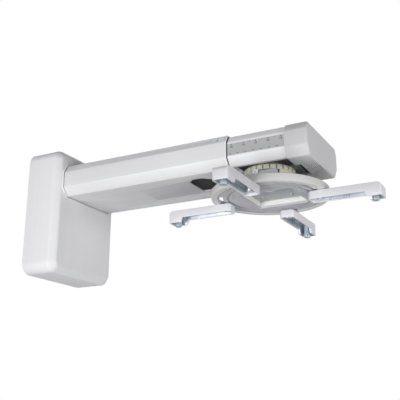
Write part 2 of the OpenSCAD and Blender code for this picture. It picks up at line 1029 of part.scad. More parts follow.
// Side view of a leg, moved in by d at its ends and top, with its walls ending at low and drop
module leg_side(d, top, low, drop) {
    r = leg_corner - d;
    points = concat(
        [[-leg_inner + d, low], [drop_u - 2, low], [drop_u, drop], [leg_outer - d, drop]],
        quarter([leg_outer - d - r, top - r], r, 0),
        [[-leg_inner + d, top]]
    );
    translate([0, arm_w, 0])
        rotate([90, 0, 0])
            linear_extrude(2 * arm_w)
                polygon(points);
}

// Plan view of a leg, moved in by d
module leg_plan(d) {
    w = leg_w / 2 - d;
    r = plan_corner - d / 2;
    c = 4.5 - d / 2;
    points = concat(
        [[-leg_inner + d, w - c], [-leg_inner + d, -w + c], [-leg_inner + d + c, -w]],
        quarter([leg_outer - d - r, -w + r], r, -90),
        quarter([leg_outer - d - r, w - r], r, 0),
        [[-leg_inner + d + c, w]]
    );
    translate([0, 0, post_low - past])
        linear_extrude(-post_low)
            polygon(points);
}

module leg_slot(top, low) {
    half = bush_r + 0.1;
    for (u = [0, leg_travel])
        translate([u, 0, 0])
            rod_z(low - past, top + past, half);
    box([0, -half, low - past], [leg_travel, half, top + past]);
}

module post_hole(top, low) {
    translate([post_u, 0, 0])
        rod_z(low - past, top + past, post_bore + 0.1);
}

module leg_cover(az) {
    low = leg_top - leg_h;
    drop = leg_top - leg_drop;
    color("#f0f0f2")
        at_clamp(az)
            difference() {
                intersection() {
                    leg_side(0, leg_top, low, drop);
                    leg_plan(0);
                }
                intersection() {
                    leg_side(leg_wall, leg_top - leg_wall, post_low, post_low);
                    leg_plan(leg_wall);
                }
                leg_slot(leg_top, leg_top - leg_wall);
                post_hole(leg_top, leg_top - leg_wall);
            }
}

module leg_core(az) {
    d = leg_wall + core_fit;
    low = leg_top - leg_h + 0.8;
    drop = leg_top - leg_drop + 0.6;
    color("#aebbc8")
        at_clamp(az)
            difference() {
                intersection() {
                    leg_side(d, core_top, low, drop);
                    leg_plan(d);
                }
                intersection() {
                    leg_side(d + core_wall, core_low, post_low, post_low);
                    leg_plan(d + core_wall);
                }
                // the core's walls stop short of the inner end
                box([-leg_inner - past, -leg_w, post_low], [-leg_inner + core_open, leg_w, core_low]);
                leg_slot(core_top, core_low);
                post_hole(core_top, core_low);
            }
}

module foot_post(az) {
    color("#b6c0ca")
        at_clamp(az)
            translate([post_u, 0, 0])
                difference() {
                    union() {
                        rod_z(post_low + 0.6, core_low - seat, post_r);
                        translate([0, 0, post_low])
                            cylinder(r1 = post_r - 0.6, r2 = post_r, h = 0.6);
                    }
                    rod_z(post_low - past, core_low + past, post_bore);
                }
}

module slot_bush(az) {
    color("#c9ced3")
        at_clamp(az)
            difference() {
                union() {
                    rod_z(core_low - bush_flange_t - seat, core_low - seat, bush_flange_r);
                    rod_z(core_low - bush_flange_t, disc_low - seat, bush_r);
                }
                rod_z(core_low - 2 * bush_flange_t, disc_low + past, clamp_r + run_gap);
            }
}

washer_top = core_low - bush_flange_t - 2 * seat;
head_top = washer_top - clamp_washer_t - seat;

module clamp_washer(az) {
    color("#e2e4e6")
        at_clamp(az)
            ring_z(washer_top - clamp_washer_t, washer_top, head_r + 0.6, clamp_r + 0.1);
}

module clamp_screw(az) {
    tip = disc_top + 4.8;
    color("#dfe1e4")
        at_clamp(az)
            difference() {
                union() {
                    rod_z(head_top - 0.5, tip, clamp_r);
                    rotate_extrude()
                        polygon(concat(
                            [[0, head_top], [head_r, head_top], [head_r, head_top - 1.6]],
                            [for (a = [15:15:75]) [head_r - 2.1 * (1 - cos(a)), head_top - 1.6 - 2.1 * sin(a)]],
                            [[0, head_top - head_t]]
                        ));
                }
                rod_z(head_top - head_t - past, head_top - 1.6, 2.1, 6);
            }
}

module clamp_nut(az) {
    color("#c6c9cc")
        at_clamp(az)
            ring_z(disc_top + 0.1, disc_top + 4.2, 4.6, clamp_r + grip, 6);
}

wall_plate();
arm_bracket();
bracket_washers();
bracket_nuts();
wall_cover();
cover_screws();
root_collar();
outer_arm();
arm_bolts();
outer_bezel();
wiper_seal();
cable_cover();
lock_screws();
inner_arm();
glide_pads();
scale_strip();
end_cap();
cap_hatch();
carriage();
carriage_screws();
index_drum();
swivel_washer();
swivel_nut();
roll_bolts();
gimbal_ring();
pitch_bolts();
pitch_ears();
lid_screws();
hub_frame();
hub_screws();
mounting_plate();
rim_cover();
leg_cover(near_az);  // leg_cover_near
leg_core(near_az);  // leg_core_near
foot_post(near_az);  // foot_post_near
slot_bush(near_az);  // slot_bush_near
clamp_washer(near_az);  // clamp_washer_near
clamp_screw(near_az);  // clamp_screw_near
clamp_nut(near_az);  // clamp_nut_near
leg_cover(wall_az);  // leg_cover_wall
leg_core(wall_az);  // leg_core_wall
foot_post(wall_az);  // foot_post_wall
slot_bush(wall_az);  // slot_bush_wall
clamp_washer(wall_az);  // clamp_washer_wall
clamp_screw(wall_az);  // clamp_screw_wall
clamp_nut(wall_az);  // clamp_nut_wall
leg_cover(far_az);  // leg_cover_far
leg_core(far_az);  // leg_core_far
foot_post(far_az);  // foot_post_far
slot_bush(far_az);  // slot_bush_far
clamp_washer(far_az);  // clamp_washer_far
clamp_screw(far_az);  // clamp_screw_far
clamp_nut(far_az);  // clamp_nut_far
leg_cover(front_az);  // leg_cover_front
leg_core(front_az);  // leg_core_front
foot_post(front_az);  // foot_post_front
slot_bush(front_az);  // slot_bush_front
clamp_washer(front_az);  // clamp_washer_front
clamp_screw(front_az);  // clamp_screw_front
clamp_nut(front_az);  // clamp_nut_front
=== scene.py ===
"""Projector wall mount: a covered wall plate, a telescopic arm and turning head with four legs."""

import json
import math

import bmesh
import bpy
from mathutils import Matrix, Vector


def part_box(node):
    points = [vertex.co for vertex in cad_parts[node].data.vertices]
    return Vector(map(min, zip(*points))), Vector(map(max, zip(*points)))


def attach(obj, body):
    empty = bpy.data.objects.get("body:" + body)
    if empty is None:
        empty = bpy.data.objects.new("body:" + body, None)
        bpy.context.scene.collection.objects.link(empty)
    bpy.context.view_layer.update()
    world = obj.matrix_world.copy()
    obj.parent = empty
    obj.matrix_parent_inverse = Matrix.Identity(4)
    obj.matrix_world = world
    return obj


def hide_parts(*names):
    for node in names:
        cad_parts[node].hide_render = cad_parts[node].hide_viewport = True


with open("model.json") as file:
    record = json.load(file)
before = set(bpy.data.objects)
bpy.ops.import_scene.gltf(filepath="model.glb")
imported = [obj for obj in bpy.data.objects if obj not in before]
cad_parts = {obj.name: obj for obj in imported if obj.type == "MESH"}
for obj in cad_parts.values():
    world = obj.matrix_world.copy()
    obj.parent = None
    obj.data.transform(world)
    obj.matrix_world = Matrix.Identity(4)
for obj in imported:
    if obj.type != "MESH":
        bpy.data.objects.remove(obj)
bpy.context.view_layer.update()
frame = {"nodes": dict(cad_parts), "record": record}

SCENE = bpy.context.scene
MM = 0.001
LEGS = ("near", "wall", "far", "front")

# In metres: the arm's axis over the round plate, and the head's axis out from the wall
ARM_AXIS = 0.0515
HEAD_X = 0.416

# Sizes in millimetres, as in the part's source
ARM_WIDTH, ARM_HEIGHT = 140, 53.2
TOP_CHAMFER, LOW_CHAMFER = (7.6, 12.6), (10.7, 15)
COVER_WIDTH, COVER_HEIGHT, COVER_DEPTH, COVER_WALL = 168, 214, 65, 2.5
PLATE_GAP = 0.4
LID_LOW, LID_TOP = 0.5, 2.3
TILT_AXIS = 14.5

slot_of = {part["node"]: part["material_slot"] for part in frame["record"]["subparts"]}
body_of = {node: body for body, nodes in frame["record"]["behaviour"]["bodies"].items()
           for node in nodes}


# Colours and shader expressions

def srgb(red, green, blue):
    """A colour as it is read off a screen, from 0 to 255, made linear."""
    def linear(v):
        v /= 255
        return v / 12.92 if v <= 0.04045 else ((v + 0.055) / 1.055) ** 2.4
    return linear(red), linear(green), linear(blue)


def shade(colour, factor):
    """The colour made darker or lighter by a factor."""
    return tuple(min(c * factor, 1.0) for c in colour)


class Value:
    """An output socket in a shader. Arithmetic on it adds Math nodes."""

    def __init__(self, shader, socket):
        self.shader = shader
        self.socket = socket

    def math(self, operation, other=None, swap=False):
        """A Math node on the value and another, or on the value alone."""
        parts = [self] if other is None else [other, self] if swap else [self, other]
        return self.shader.node("Math", {"operation": operation}, dict(enumerate(parts)))

    def __add__(self, other):
        return self.math("ADD", other)

    def __sub__(self, other):
        return self.math("SUBTRACT", other)

    def __rsub__(self, other):
        return self.math("SUBTRACT", other, swap=True)

    def __mul__(self, other):
        return self.math("MULTIPLY", other)

    def __pow__(self, other):
        return self.math("POWER", other)

    __radd__ = __add__
    __rmul__ = __mul__


class Shader:
    """A node tree of a finish or of the room."""

    def __init__(self, tree):
        self.tree = tree

    def node(self, kind, settings=None, inputs=None, output=0):
        """One node of that kind with its settings and inputs, and one of its outputs."""
        node = self.tree.nodes.new("ShaderNode" + kind)
        for key, value in (settings or {}).items():
            setattr(node, key, value)
        for key, value in (inputs or {}).items():
            self.feed(node.inputs[key], value)
        return Value(self, node.outputs[output])

    def feed(self, socket, value):
        """Links a Value to the socket, or sets the socket to a plain number or colour."""
        if isinstance(value, Value):
            self.tree.links.new(value.socket, socket)
        elif isinstance(value, tuple) and socket.type == "RGBA":
            socket.default_value = (*value, 1)
        else:
            socket.default_value = value


class Finish(Shader):
    """A material, built up from nodes around one Principled shader."""

    def __init__(self, name):
        self.material = bpy.data.materials.new(name)
        self.material.use_nodes = True
        super().__init__(self.material.node_tree)
        self.principled = self.tree.nodes["Principled BSDF"]
        self.place = self.node("TexCoord", output="Object")

    def set(self, **inputs):
        """Sets the Principled shader's sockets, named with underscores for spaces."""
        for key, value in inputs.items():
            self.feed(self.principled.inputs[key.replace("_", " ")], value)

    def axis(self, number):
        """One of the object coordinates, in metres."""
        return self.node("SeparateXYZ", inputs={"Vector": self.place}, output=number)

    def noise(self, scale, detail=2.0, rough=0.5, where=None):
        """Noise of that scale per metre, from 0 to 1."""
        return self.node("TexNoise", inputs={
            "Vector": where or self.place, "Scale": scale, "Detail": detail, "Roughness": rough})

    def lines(self, per_metre, detail, rough):
        """Noise drawn out into lines, with its scale per metre along each axis."""
        drawn = self.node("Mapping", inputs={"Vector": self.place, "Scale": per_metre})
        return self.noise(1.0, detail, rough, drawn)

    def blend(self, factor, first, second):
        """The first colour where factor is 0, the second where it is 1."""
        return self.node("Mix", {"data_type": "RGBA"}, {0: factor, 6: first, 7: second}, 2)

    def span(self, value, low, high):
        """The value spread from 0 at low to 1 at high, and held there."""
        return self.node("MapRange", inputs={0: value, 1: low, 2: high})

    def slope(self, length, start, end):
        """From 0 where a length in metres is start millimetres to 1 where it is end millimetres."""
        return self.span(length, start * MM, end * MM)

    def mottled(self, cloud, colour, low=0.3, high=0.7):
        """The colour, a little darker and lighter from place to place."""
        return self.blend(self.span(cloud, low, high), shade(colour, 0.95), shade(colour, 1.03))

    def relief(self, height, depth, edge=0.0):
        """A bump of that depth in metres, over edges that are softened by edge metres."""
        inputs = {"Height": height, "Distance": depth, "Strength": 1.0}
        if edge:
            inputs["Normal"] = self.node("Bevel", {"samples": 6}, {"Radius": edge})
        self.set(Normal=self.node("Bump", inputs=inputs))


def vary(noise, reach):
    """The noise as a change about zero, over that reach."""
    return (noise - 0.5) * reach


# Finishes

SOFT_GLOSS = {"Coat_Weight": 0.15, "Coat_Roughness": 0.3}
GROOVE_SHADE = 0.3

# Radii in millimetres on the round plate, where painted shade darkens it: the bead's two slopes,
# and where the rim laps over it
BEAD_RISE, BEAD_FALL, RIM_LAP = (63.6, 64.3), (66.9, 66.1), (79.9, 81.3)

# In millimetres: the place of one of the hatch's ribs along the arm, and the ribs' pitch
RIB_X, RIB_PITCH = 478.1, 3.117


def moulded(name, colour, rough=0.5, edge=0.6 * MM, streak=0.0):
    """Moulded plastic with a spark-eroded texture, and upright draw marks where streak is given."""
    f = Finish(name)
    grain = f.noise(1500)
    cloud = f.noise(7, 3)
    tone = f.span(cloud, 0.3, 0.7)
    if streak:
        drawn = f.lines((300, 300, 3), 4, 0.6)
        tone = tone * (1 - streak) + f.span(drawn, 0.3, 0.7) * streak
    f.set(Base_Color=f.blend(tone, shade(colour, 0.955), shade(colour, 1.02)),
          Roughness=rough + vary(grain, 0.12) + vary(cloud, 0.1), IOR=1.46)
    f.relief(grain, 0.05 * MM, edge)
    return f.material


def extruded(name, colour, rough=0.42, edge=0.5 * MM):
    """Anodised extrusion with die lines along the arm."""
    f = Finish(name)
    die_lines = f.lines((2.5, 900, 900), 3, 0.65)
    bands = f.lines((1.2, 90, 90), 2, 0.5)
    grain = f.noise(2600, 1)
    f.set(Base_Color=f.mottled(die_lines * 0.5 + bands * 0.5, colour, 0.35, 0.65), Metallic=0.12,
          Roughness=rough + vary(die_lines, 0.16) + vary(grain, 0.1))
    f.relief(die_lines + grain * 0.6, 0.02 * MM, edge)
    return f.material


def coated(name, colour, rough=0.42, edge=0.5 * MM, peel=0.05 * MM):
    """Powder-coated steel: a fine orange peel under a soft gloss."""
    f = Finish(name)
    skin = f.noise(620)
    speck = f.noise(2400, 1)
    cloud = f.noise(11, 3)
    f.set(Base_Color=f.mottled(cloud, colour),
          Roughness=rough + vary(skin, 0.16) + vary(cloud, 0.12), **SOFT_GLOSS)
    f.relief(skin + speck * 0.4, peel, edge)
    return f.material


def pressed_plate(name, colour):
    """The round plate's coat, with painted shade in its bead and in the corner under the rim's lip.
    """
    f = Finish(name)
    skin = f.noise(620)
    cloud = f.noise(11, 3)
    across, along = f.axis(0) - HEAD_X, f.axis(1)
    radius = (across * across + along * along) ** 0.5
    bead = f.slope(radius, *BEAD_RISE) * f.slope(radius, *BEAD_FALL)
    lap = f.slope(radius, *RIM_LAP)
    # Painted shade: the colour is darkened in the bead and in the corner under the rim's lip
    painted_shade = bead * 0.6 + lap * 0.6
    f.set(Base_Color=f.blend(painted_shade, f.mottled(cloud, colour), shade(colour, GROOVE_SHADE)),
          Roughness=0.42 + vary(skin, 0.16) + vary(cloud, 0.12), **SOFT_GLOSS)
    f.relief(skin, 0.05 * MM)
    return f.material


def painted_rib_shading(name, colour):
    """The hatch's plastic, with painted highlights on its ribs and painted shade in the grooves
    between them.
    """
    f = Finish(name)
    grain = f.noise(1500)
    turn = (f.axis(0) - RIB_X * MM) * (2 * math.pi / (RIB_PITCH * MM))
    # Painted light and shade: the colour is lightened on the ribs and darkened in the grooves
    # between them
    painted_rib_highlight = f.span(turn.math("COSINE"), -0.3, 0.5)
    f.set(Base_Color=f.blend(painted_rib_highlight, shade(colour, GROOVE_SHADE), shade(colour, 1.1)),
          Roughness=0.5 + vary(grain, 0.12))
    f.relief(grain, 0.05 * MM)
    return f.material


def zinc(name, colour, tint, rough=0.34, metallic=0.8):
    """Zinc-plated steel with a clouded passivation and fine rolling lines."""
    f = Finish(name)
    cloud = f.noise(38, 4, 0.6)
    spangle = f.node("TexVoronoi", {"feature": "F1"}, {"Vector": f.place, "Scale": 420.0})
    rolled = f.lines((1100, 1100, 60), 3, 0.6)
    f.set(Base_Color=f.blend(f.span(cloud + vary(spangle, 0.18), 0.32, 0.68), colour, tint),
          Metallic=metallic, Roughness=rough + vary(cloud, 0.22) + vary(rolled, 0.14))
    f.relief(rolled + spangle * 0.5, 0.015 * MM, 0.3 * MM)
    return f.material


def polished(name, colour):
    """Chrome on small turned pieces, with turning marks and finger haze."""
    f = Finish(name)
    haze = f.noise(160, 3)
    turned = f.lines((200, 200, 6000), 2, 0.5)
    f.set(Base_Color=f.blend(f.span(haze, 0.35, 0.7), colour, shade(colour, 0.86)), Metallic=1.0,
          Roughness=0.14 + f.span(haze, 0.4, 0.8) * 0.16)
    f.relief(turned, 0.01 * MM, 0.25 * MM)
    return f.material


def rubber(name, colour):
    """Dull rubber with a pale bloom."""
    f = Finish(name)
    grain = f.noise(2200)
    bloom = f.noise(30, 3)
    f.set(Base_Color=f.blend(f.span(bloom, 0.35, 0.75), colour, shade(colour, 1.7)),
          Roughness=0.62 + vary(bloom, 0.2))
    f.relief(grain, 0.06 * MM)
    return f.material


def printed(name, colour):
    """Ink of the scale: flat, a little worn."""
    f = Finish(name)
    worn = f.noise(900, 3)
    f.set(Base_Color=f.blend(f.span(worn, 0.55, 0.8), colour, shade(colour, 2.4)), Roughness=0.55)
    f.relief(worn, 0.01 * MM)
    return f.material


FINISHES = {name: finish(name, *look) for finish, name, *look in (
    (zinc, "galvanised", srgb(176, 180, 184), srgb(198, 201, 204), 0.42, 0.7),
    (zinc, "bracket_steel", srgb(150, 154, 158), srgb(172, 176, 178), 0.4, 0.7),
    (zinc, "fasteners", srgb(186, 189, 192), srgb(206, 208, 208), 0.3, 0.9),
    (polished, "chrome_screws", srgb(226, 228, 230)),
    (moulded, "cover_white", srgb(236, 236, 238), 0.5, 0.0, 0.5),
    (moulded, "trim_white", srgb(246, 246, 246), 0.45),
    (extruded, "outer_alu", srgb(224, 224, 227)),
    (extruded, "inner_alu", srgb(226, 226, 228)),
    (rubber, "seal", srgb(30, 30, 32)),
    (extruded, "panel_grey", srgb(204, 204, 210), 0.45, 0.0),
    (moulded, "nylon", srgb(232, 228, 214), 0.4),
    (extruded, "scale", srgb(180, 180, 181), 0.4, 0.1 * MM),
    (moulded, "cap_grey", srgb(206, 206, 208), 0.48, 0.0),
    (zinc, "carriage_steel", srgb(150, 154, 158), srgb(176, 178, 180), 0.4, 0.7),
    (coated, "drum_cream", srgb(214, 213, 194), 0.45),
    (zinc, "gimbal_steel", srgb(140, 143, 147), srgb(165, 168, 172), 0.42, 0.7),
    (zinc, "lid_steel", srgb(176, 179, 184), srgb(196, 198, 202), 0.4, 0.3),
    (coated, "hub_white", srgb(238, 238, 234), 0.4),
    (pressed_plate, "plate_grey", srgb(184, 184, 190)),
    (coated, "rim_cream", srgb(208, 208, 205), 0.4),
    (coated, "leg_white", srgb(222, 222, 227), 0.36, 0.8 * MM, 0.03 * MM),
    (zinc, "leg_zinc", srgb(168, 181, 192), srgb(200, 209, 216), 0.3, 0.6),
)}
INK = printed("scale_ink", srgb(34, 34, 38))

for node_name, node_object in frame["nodes"].items():
    for material_slot in node_object.material_slots:
        material_slot.material = FINISHES[slot_of[node_name]]


# Pieces and their edges

# In degrees: edges sharper than the first are rounded, edges sharper than the second stay hard,
# and faces that turn by less than the third become one
ROUNDED_FROM, HARD_FROM, FLAT_WITHIN = 28, 38, 0.4


def placed(name, data):
    """A new object in the scene with that mesh, lamp or camera."""
    piece = bpy.data.objects.new(name, data)
    SCENE.collection.objects.link(piece)
    return piece


def mesh_of(piece):
    """A plain mesh of the piece as its modifiers or its text leave it."""
    bpy.context.view_layer.update()
    evaluated = piece.evaluated_get(bpy.context.evaluated_depsgraph_get())
    return bpy.data.meshes.new_from_object(evaluated)


def plain_mesh(piece):
    """Works the piece's modifiers into its mesh."""
    mesh = mesh_of(piece)
    piece.modifiers.clear()
    piece.data = mesh
    return mesh


def merged_copy(node):
    """A CAD node's mesh with its loose triangles joined and its flat faces whole."""
    mesh = frame["nodes"][node].data.copy()
    form = bmesh.new()
    form.from_mesh(mesh)
    bmesh.ops.remove_doubles(form, verts=form.verts, dist=0.002 * MM)
    bmesh.ops.dissolve_limit(form, angle_limit=math.radians(FLAT_WITHIN),
                             verts=form.verts, edges=form.edges)
    form.to_mesh(mesh)
    form.free()
    return mesh


def cut(piece, tool, operation="DIFFERENCE"):
    """Takes the tool's shape out of the piece, or keeps only what lies inside it with INTERSECT."""
    taken = piece.modifiers.new("cut", "BOOLEAN")
    taken.operation = operation
    taken.solver = "EXACT"
    taken.object = tool
    plain_mesh(piece)
    bpy.data.objects.remove(tool)


def ease(piece, radius):
    """Rounds the piece's edges and shades its round faces smooth."""
    bevel = piece.modifiers.new("ease", "BEVEL")
    bevel.width = radius
    bevel.segments = 2
    bevel.limit_method = "ANGLE"
    bevel.angle_limit = math.radians(ROUNDED_FROM)
    bevel.use_clamp_overlap = True
    mesh = plain_mesh(piece)
    mesh.shade_smooth()
    mesh.set_sharp_from_angle(angle=math.radians(HARD_FROM))


def rides_with(piece, node):
    """Gives the piece that node's body."""
    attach(piece, body_of[node])


def stands_for(piece, node):
    """Gives the piece that node's finish and body, in its place."""
    if not piece.data.materials:
        piece.data.materials.append(FINISHES[slot_of[node]])
    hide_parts(node)
    rides_with(piece, node)


def eased(node, radius, tool=None, operation="DIFFERENCE"):
    """A copy of a CAD node, cut by a tool and with its edges rounded, which stands for the node."""
    piece = placed(node + "_eased", merged_copy(node))
    if tool:
        cut(piece, tool, operation)
    ease(piece, radius)
    stands_for(piece, node)
    return piece


# Forms built from outlines, in millimetres

HEAD = HEAD_X / MM


def lofted(name, rings):
    """A closed form through rings of as many points each."""
    count = len(rings[0])
    faces = [(low + i, low + (i + 1) % count, low + count + (i + 1) % count, low + count + i)
             for low in range(0, (len(rings) - 1) * count, count) for i in range(count)]
    faces += [tuple(range(count)), tuple(range((len(rings) - 1) * count, len(rings) * count))]
    mesh = bpy.data.meshes.new(name)
    mesh.from_pydata([tuple(v * MM for v in point) for ring in rings for point in ring], [], faces)
    form = bmesh.new()
    form.from_mesh(mesh)
    bmesh.ops.recalc_face_normals(form, faces=form.faces)
    form.to_mesh(mesh)
    form.free()
    return placed(name, mesh)


def upright(name, outline, low, high):
    """A prism from low to high over an outline about the head's axis."""
    return lofted(name, [[(HEAD + x, y, z) for x, y in outline] for z in (low, high)])


def arc(radius, middle, degrees):
    """Points on a circle about the middle, at those degrees."""
    return [(middle[0] + radius * math.cos(math.radians(turn)),
             middle[1] + radius * math.sin(math.radians(turn))) for turn in degrees]


def rounded_ring(width, height, corner, x):
    """Points of a rounded rectangle across the X axis."""
    return [(x, y, z)
            for quarter, (side, top) in enumerate(((1, 1), (-1, 1), (-1, -1), (1, -1)))
            for y, z in arc(corner, (side * (width / 2 - corner), top * (height / 2 - corner)),
                            range(90 * quarter, 90 * quarter + 91, 10))]


def arm_outline(grow):
    """Points of the arm's octagon across X, moved out by grow."""
    def moved(across, rise):
        length = math.hypot(across, rise)
        along, up = rise / length, across / length
        return across + grow - grow * (1 - up) / along, rise + grow - grow * (1 - along) / up
    half_w, half_h = ARM_WIDTH / 2 + grow, ARM_HEIGHT / 2 + grow
    (top_y, top_z), (low_y, low_z) = moved(*TOP_CHAMFER), moved(*LOW_CHAMFER)
    far_side = [(half_w - low_y, -half_h), (half_w, -half_h + low_z),
                (half_w, half_h - top_z), (half_w - top_y, half_h)]
    return far_side + [(-y, z) for y, z in reversed(far_side)]


# The cable hole's sides along and across the arm, the cuts at its near and far corners, and the
# heights between which it goes through the arm's underside and its cover
HOLE_WALLWARD, HOLE_OUTWARD, HOLE_NEAR, HOLE_FAR = 289, 329, -40, 19
NEAR_CUT, FAR_CUT = 12, 2
HOLE_HEIGHTS = (22, 31)


def cable_hole():
    """The form of the hole for the cables."""
    outline = ((HOLE_WALLWARD + NEAR_CUT, HOLE_NEAR), (HOLE_OUTWARD - NEAR_CUT, HOLE_NEAR),
               (HOLE_OUTWARD, HOLE_NEAR + NEAR_CUT), (HOLE_OUTWARD, HOLE_FAR - FAR_CUT),
               (HOLE_OUTWARD - FAR_CUT, HOLE_FAR), (HOLE_WALLWARD + FAR_CUT, HOLE_FAR),
               (HOLE_WALLWARD, HOLE_FAR - FAR_CUT), (HOLE_WALLWARD, HOLE_NEAR + NEAR_CUT))
    return lofted("cable_hole", [[(x, y, z) for x, y in outline] for z in HOLE_HEIGHTS])


# The solids with rounded edges

EDGE_RADII = {
    "inner_arm": 0.5, "end_cap": 0.6, "root_collar": 0.5, "outer_bezel": 0.3, "arm_bracket": 0.5,
    "mounting_plate": 0.4, "hub_frame": 0.3, "index_drum": 0.3, "carriage": 0.4, "gimbal_ring": 0.4,
    "rim_cover": 0.2,
}

# The hatch's finish carries painted highlights on its ribs and painted shade in its grooves
hatch = eased("cap_hatch", 0.15 * MM)
hatch.data.materials.clear()
hatch.data.materials.append(painted_rib_shading("hatch_grey", srgb(212, 212, 214)))
eased("outer_arm", 0.6 * MM, cable_hole())
eased("cable_cover", 0.3 * MM, cable_hole())
for node_name, edge_radius in EDGE_RADII.items():
    eased(node_name, edge_radius * MM)
for leg in LEGS:
    eased("leg_cover_" + leg, 0.5 * MM)
    eased("leg_core_" + leg, 0.3 * MM)


# Wall cover: its corners are rounder than its front edge, which is a chamfer with soft shoulders

CORNER, CHAMFER, SHOULDER = 19, 10, 7
MOUTH_GAP, MOUTH_X = 1.6, (40, 80)
PLATE_TOOL_X = (-5, 80)


def cover_section(wall):
    """The cover's face as distances from the wall and insets, back to front, moved in by wall."""
    reach = SHOULDER * math.tan(math.radians(45 / 2))
    radius = SHOULDER - wall
    points = [(0, wall)]
    for x, inset, turns in ((COVER_DEPTH - CHAMFER - reach, SHOULDER, (0, 15, 30, 45)),
                            (COVER_DEPTH - SHOULDER, CHAMFER + reach, (45, 60, 75, 90))):
        points += [(x + radius * math.sin(math.radians(turn)),
                    inset - radius * math.cos(math.radians(turn))) for turn in turns]
    return points


def cover_ring(inset, x):
    """A ring of the cover's outline, moved in by inset."""
    return rounded_ring(COVER_WIDTH - 2 * inset, COVER_HEIGHT - 2 * inset, CORNER - inset, x)


section = cover_section(0)[::-1] + cover_section(COVER_WALL)
cover = lofted("wall_cover_form", [cover_ring(inset, x) for x, inset in section])
cut(cover, lofted("cover_mouth", [
    [(x, y, ARM_AXIS / MM + z) for y, z in arm_outline(MOUTH_GAP)] for x in MOUTH_X]))
ease(cover, 0.5 * MM)
stands_for(cover, "wall_cover")

# The wall plate's corners are rounded off inside the cover's, and its straight sides are left
inside = COVER_WALL + PLATE_GAP
eased("wall_plate", 0.4 * MM, lofted("plate_corners", [
    rounded_ring(COVER_WIDTH - 2 * inside + 1, COVER_HEIGHT - 2 * inside + 1, CORNER - inside, x)
    for x in PLATE_TOOL_X]), "INTERSECT")


# Tray over the window: white walls under a grey steel lid with two ears for the tilt bolts

LID_OUTLINE = ((-43, -36), (54, -36), (54, 47), (-43, 47))
LID_HOLE_RADIUS, LID_HOLE_MIDDLE, LID_HOLE_HEIGHTS = 11, (0, -7), (-5, 8)
EAR_BACK, EAR_FRONT, EAR_TOP, EAR_CUT = -34, 16, 16.5, 3
EAR_INNER, EAR_OUTER = 49, 53
EYE_RADIUS, EYE_TURNS = 4.8, range(25, 156, 10)
FOOT_INNER, FOOT_OUTER, FOOT_THICKNESS = 31, 50, 2


def finished(piece, name, node):
    """Gives a scene's own piece a finish, and the body of a node."""
    piece.data.materials.append(FINISHES[name])
    rides_with(piece, node)


# The lid stands just proud of the solid tray's own lid, below and above
lid = upright("tray_lid", LID_OUTLINE, LID_LOW - 0.3, LID_TOP + 0.2)
lid_hole = arc(LID_HOLE_RADIUS, LID_HOLE_MIDDLE, range(0, 360, 6))
cut(lid, upright("lid_hole", lid_hole, *LID_HOLE_HEIGHTS))
ease(lid, 0.4 * MM)
finished(lid, "lid_steel", "pitch_ears")

ear_outline = [
    (EAR_BACK, LID_TOP), (EAR_FRONT, LID_TOP),
    (EAR_FRONT, EAR_TOP - EAR_CUT), (EAR_FRONT - EAR_CUT, EAR_TOP),
    *arc(EYE_RADIUS, (0, TILT_AXIS), EYE_TURNS),
    (EAR_BACK + EAR_CUT, EAR_TOP), (EAR_BACK, EAR_TOP - EAR_CUT)]
foot_outline = [(EAR_BACK, FOOT_INNER), (EAR_FRONT, FOOT_INNER),
                (EAR_FRONT, FOOT_OUTER), (EAR_BACK, FOOT_OUTER)]
ears_mesh = bpy.data.meshes.new("lid_ears")
ears_form = bmesh.new()
for side in (-1, 1):
    ear = lofted("ear", [
        [(HEAD + side * x, side * y, z) for x, z in ear_outline] for y in (EAR_INNER, EAR_OUTER)])
    foot = upright("ear_foot", [(side * x, side * y) for x, y in foot_outline],
                   LID_TOP, LID_TOP + FOOT_THICKNESS)
    for shape in (ear, foot):
        ears_form.from_mesh(shape.data)
        bpy.data.objects.remove(shape)
ears_form.to_mesh(ears_mesh)
ears_form.free()
ears = placed("lid_ears", ears_mesh)
ease(ears, 0.4 * MM)
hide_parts("pitch_ears")
finished(ears, "lid_steel", "pitch_ears")


# Geometry Nodes

